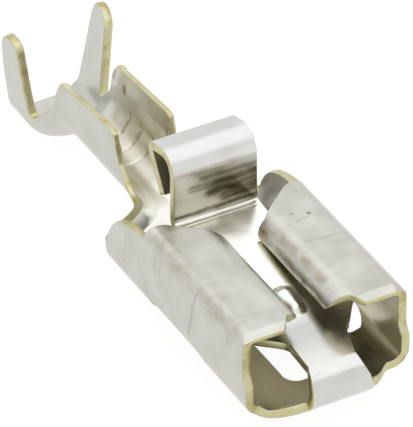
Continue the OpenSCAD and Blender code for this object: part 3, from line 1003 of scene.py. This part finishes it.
class TERMINAL_OT_fold_strip(bpy.types.Operator):
    """Fold the terminal from its flat blank, in place of the plain solid"""

    bl_idname = "terminal.fold_strip"
    bl_label = "Fold Strip"
    bl_options = {"REGISTER", "UNDO"}

    def execute(self, context):
        sizes, look = context.scene.strip_sizes, context.scene.metal_look
        strip = Strip(sizes)
        places, faces, slots, normals, blank = fold_mesh(strip, look.waviness * 1000)
        low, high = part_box("terminal")
        shift = Vector(((low[0] + high[0]) / 2, 0, low[2])) * 1000
        shift -= Vector(((strip.curl_x + strip.curl_r + strip.GRIP_REAR) / 2, 0, -strip.grip_drop))
        mesh = bpy.data.meshes.new("folded_strip")
        mesh.from_pydata([(p + shift) * 0.001 for p in places], [], faces)
        if mesh.validate(verbose=False):
            raise RuntimeError("the folded strip has broken faces")
        mesh.materials.append(tin_plate(look, strip))
        mesh.materials.append(cut_brass(look))
        mesh.polygons.foreach_set("material_index", slots)
        mesh.polygons.foreach_set("use_smooth", [True] * len(faces))
        layer = mesh.uv_layers.new(name="blank")
        for loop in mesh.loops:
            layer.data[loop.index].uv = blank[loop.vertex_index]
        mesh.normals_split_custom_set_from_vertices(normals)
        piece = bpy.data.objects.new("folded_strip", mesh)
        context.scene.collection.objects.link(piece)
        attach(piece, "root")
        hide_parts("terminal")
        return {"FINISHED"}


class TERMINAL_OT_set_stage(bpy.types.Operator):
    """Set the pale floor, the soft lights, the white surroundings and the camera"""

    bl_idname = "terminal.set_stage"
    bl_label = "Set Stage"
    bl_options = {"REGISTER", "UNDO"}

    def execute(self, context):
        scene = context.scene
        scene.view_settings.view_transform = "Standard"
        self.make_floor(scene)
        self.make_world(scene)
        self.make_lamp(scene)
        self.make_camera(scene)
        return {"FINISHED"}

    def make_lamp(self, scene):
        lamp = bpy.data.lights.new("overhead_softbox", "AREA")
        lamp.shape = "DISK"
        lamp.size = 0.62
        lamp.energy = 0.4
        lamp.color = (0.95, 0.98, 1.0)
        holder = bpy.data.objects.new("overhead_softbox", lamp)
        holder.location = (0.0, 0.0, 0.3)
        holder.rotation_euler = holder.location.to_track_quat("Z", "Y").to_euler()
        scene.collection.objects.link(holder)

    def make_floor(self, scene):
        mesh = bpy.data.meshes.new("floor")
        half = 0.6
        low = -2e-5
        corners = [(-half, -half, low), (half, -half, low), (half, half, low), (-half, half, low)]
        mesh.from_pydata(corners, [], [(0, 1, 2, 3)])
        material, nodes, links, shader = new_material("pale_floor")
        shader.inputs["Base Color"].default_value = (0.18, 0.18, 0.18, 1)
        shader.inputs["Roughness"].default_value = 0.9
        shader.inputs["Specular IOR Level"].default_value = 0.0
        mesh.materials.append(material)
        floor = bpy.data.objects.new("floor", mesh)
        scene.collection.objects.link(floor)
        # seen by the camera, a reflection or through glass, the floor is white but keeps its shadow
        seen = seen_share(nodes, links)
        lift = nodes.new("ShaderNodeMath")
        lift.operation = "MULTIPLY"
        lift.inputs[1].default_value = 0.91
        links.new(seen, lift.inputs[0])
        shader.inputs["Emission Color"].default_value = (1, 1, 1, 1)
        links.new(lift.outputs[0], shader.inputs["Emission Strength"])

    def make_world(self, scene):
        world = bpy.data.worlds.new("studio")
        world.use_nodes = True
        nodes, links = world.node_tree.nodes, world.node_tree.links
        background = nodes["Background"]
        background.inputs["Color"].default_value = (1, 1, 1, 1)
        seen = seen_share(nodes, links)
        level = nodes.new("ShaderNodeMapRange")
        level.inputs["To Min"].default_value = 0.6
        level.inputs["To Max"].default_value = 1.0
        links.new(seen, level.inputs["Value"])
        links.new(level.outputs["Result"], background.inputs["Strength"])
        scene.world = world

    def make_camera(self, scene):
        turn, rise, tilt = math.radians(61.665), math.radians(36.408), math.radians(-0.423)
        back = Vector((math.sin(turn) * math.cos(rise), -math.cos(turn) * math.cos(rise), math.sin(rise)))
        right = Vector((math.cos(turn), math.sin(turn), 0))
        up = back.cross(right)
        right, up = right * math.cos(tilt) + up * math.sin(tilt), up * math.cos(tilt) - right * math.sin(tilt)
        distance, aim_right, aim_down = 0.25, 0.0008736, 0.0002912
        strip = Strip(scene.strip_sizes)
        mouth = Vector(((strip.curl_x + strip.curl_r + strip.GRIP_REAR) / -2, 0, strip.grip_drop))
        aim = (mouth + Vector((-12, 0, 1.5))) * 0.001
        eye = aim + back * distance
        aim += right * aim_right - up * aim_down
        back = (eye - aim).normalized()
        right = up.cross(back).normalized()
        up = back.cross(right)
        data = bpy.data.cameras.new("camera")
        data.sensor_width = 36
        data.lens = 506.95082
        data.clip_start, data.clip_end = 0.01, 5
        camera = bpy.data.objects.new("camera", data)
        camera.matrix_world = Matrix.Translation(eye) @ Matrix((right, up, back)).transposed().to_4x4()
        scene.collection.objects.link(camera)
        scene.camera = camera


class TERMINAL_PT_panel(bpy.types.Panel):
    """Sizes, finish and steps of the spade terminal"""

    bl_idname = "TERMINAL_PT_panel"
    bl_label = "Spade Terminal"
    bl_space_type = "VIEW_3D"
    bl_region_type = "UI"
    bl_category = "Terminal"

    def draw(self, context):
        layout = self.layout
        for group in (context.scene.strip_sizes, context.scene.metal_look):
            column = layout.box().column(align=True)
            for name in type(group).__annotations__:
                column.prop(group, name)
        layout.operator(TERMINAL_OT_fold_strip.bl_idname)
        layout.operator(TERMINAL_OT_set_stage.bl_idname)


CLASSES = (StripSizes, MetalLook, TERMINAL_OT_fold_strip, TERMINAL_OT_set_stage, TERMINAL_PT_panel)


def register():
    for item in CLASSES:
        bpy.utils.register_class(item)
    bpy.types.Scene.strip_sizes = PointerProperty(type=StripSizes)
    bpy.types.Scene.metal_look = PointerProperty(type=MetalLook)


def unregister():
    del bpy.types.Scene.metal_look
    del bpy.types.Scene.strip_sizes
    for item in reversed(CLASSES):
        bpy.utils.unregister_class(item)


def main():
    register()
    bpy.ops.terminal.set_stage()
    bpy.ops.terminal.fold_strip()


if __name__ == "__main__":
    main()
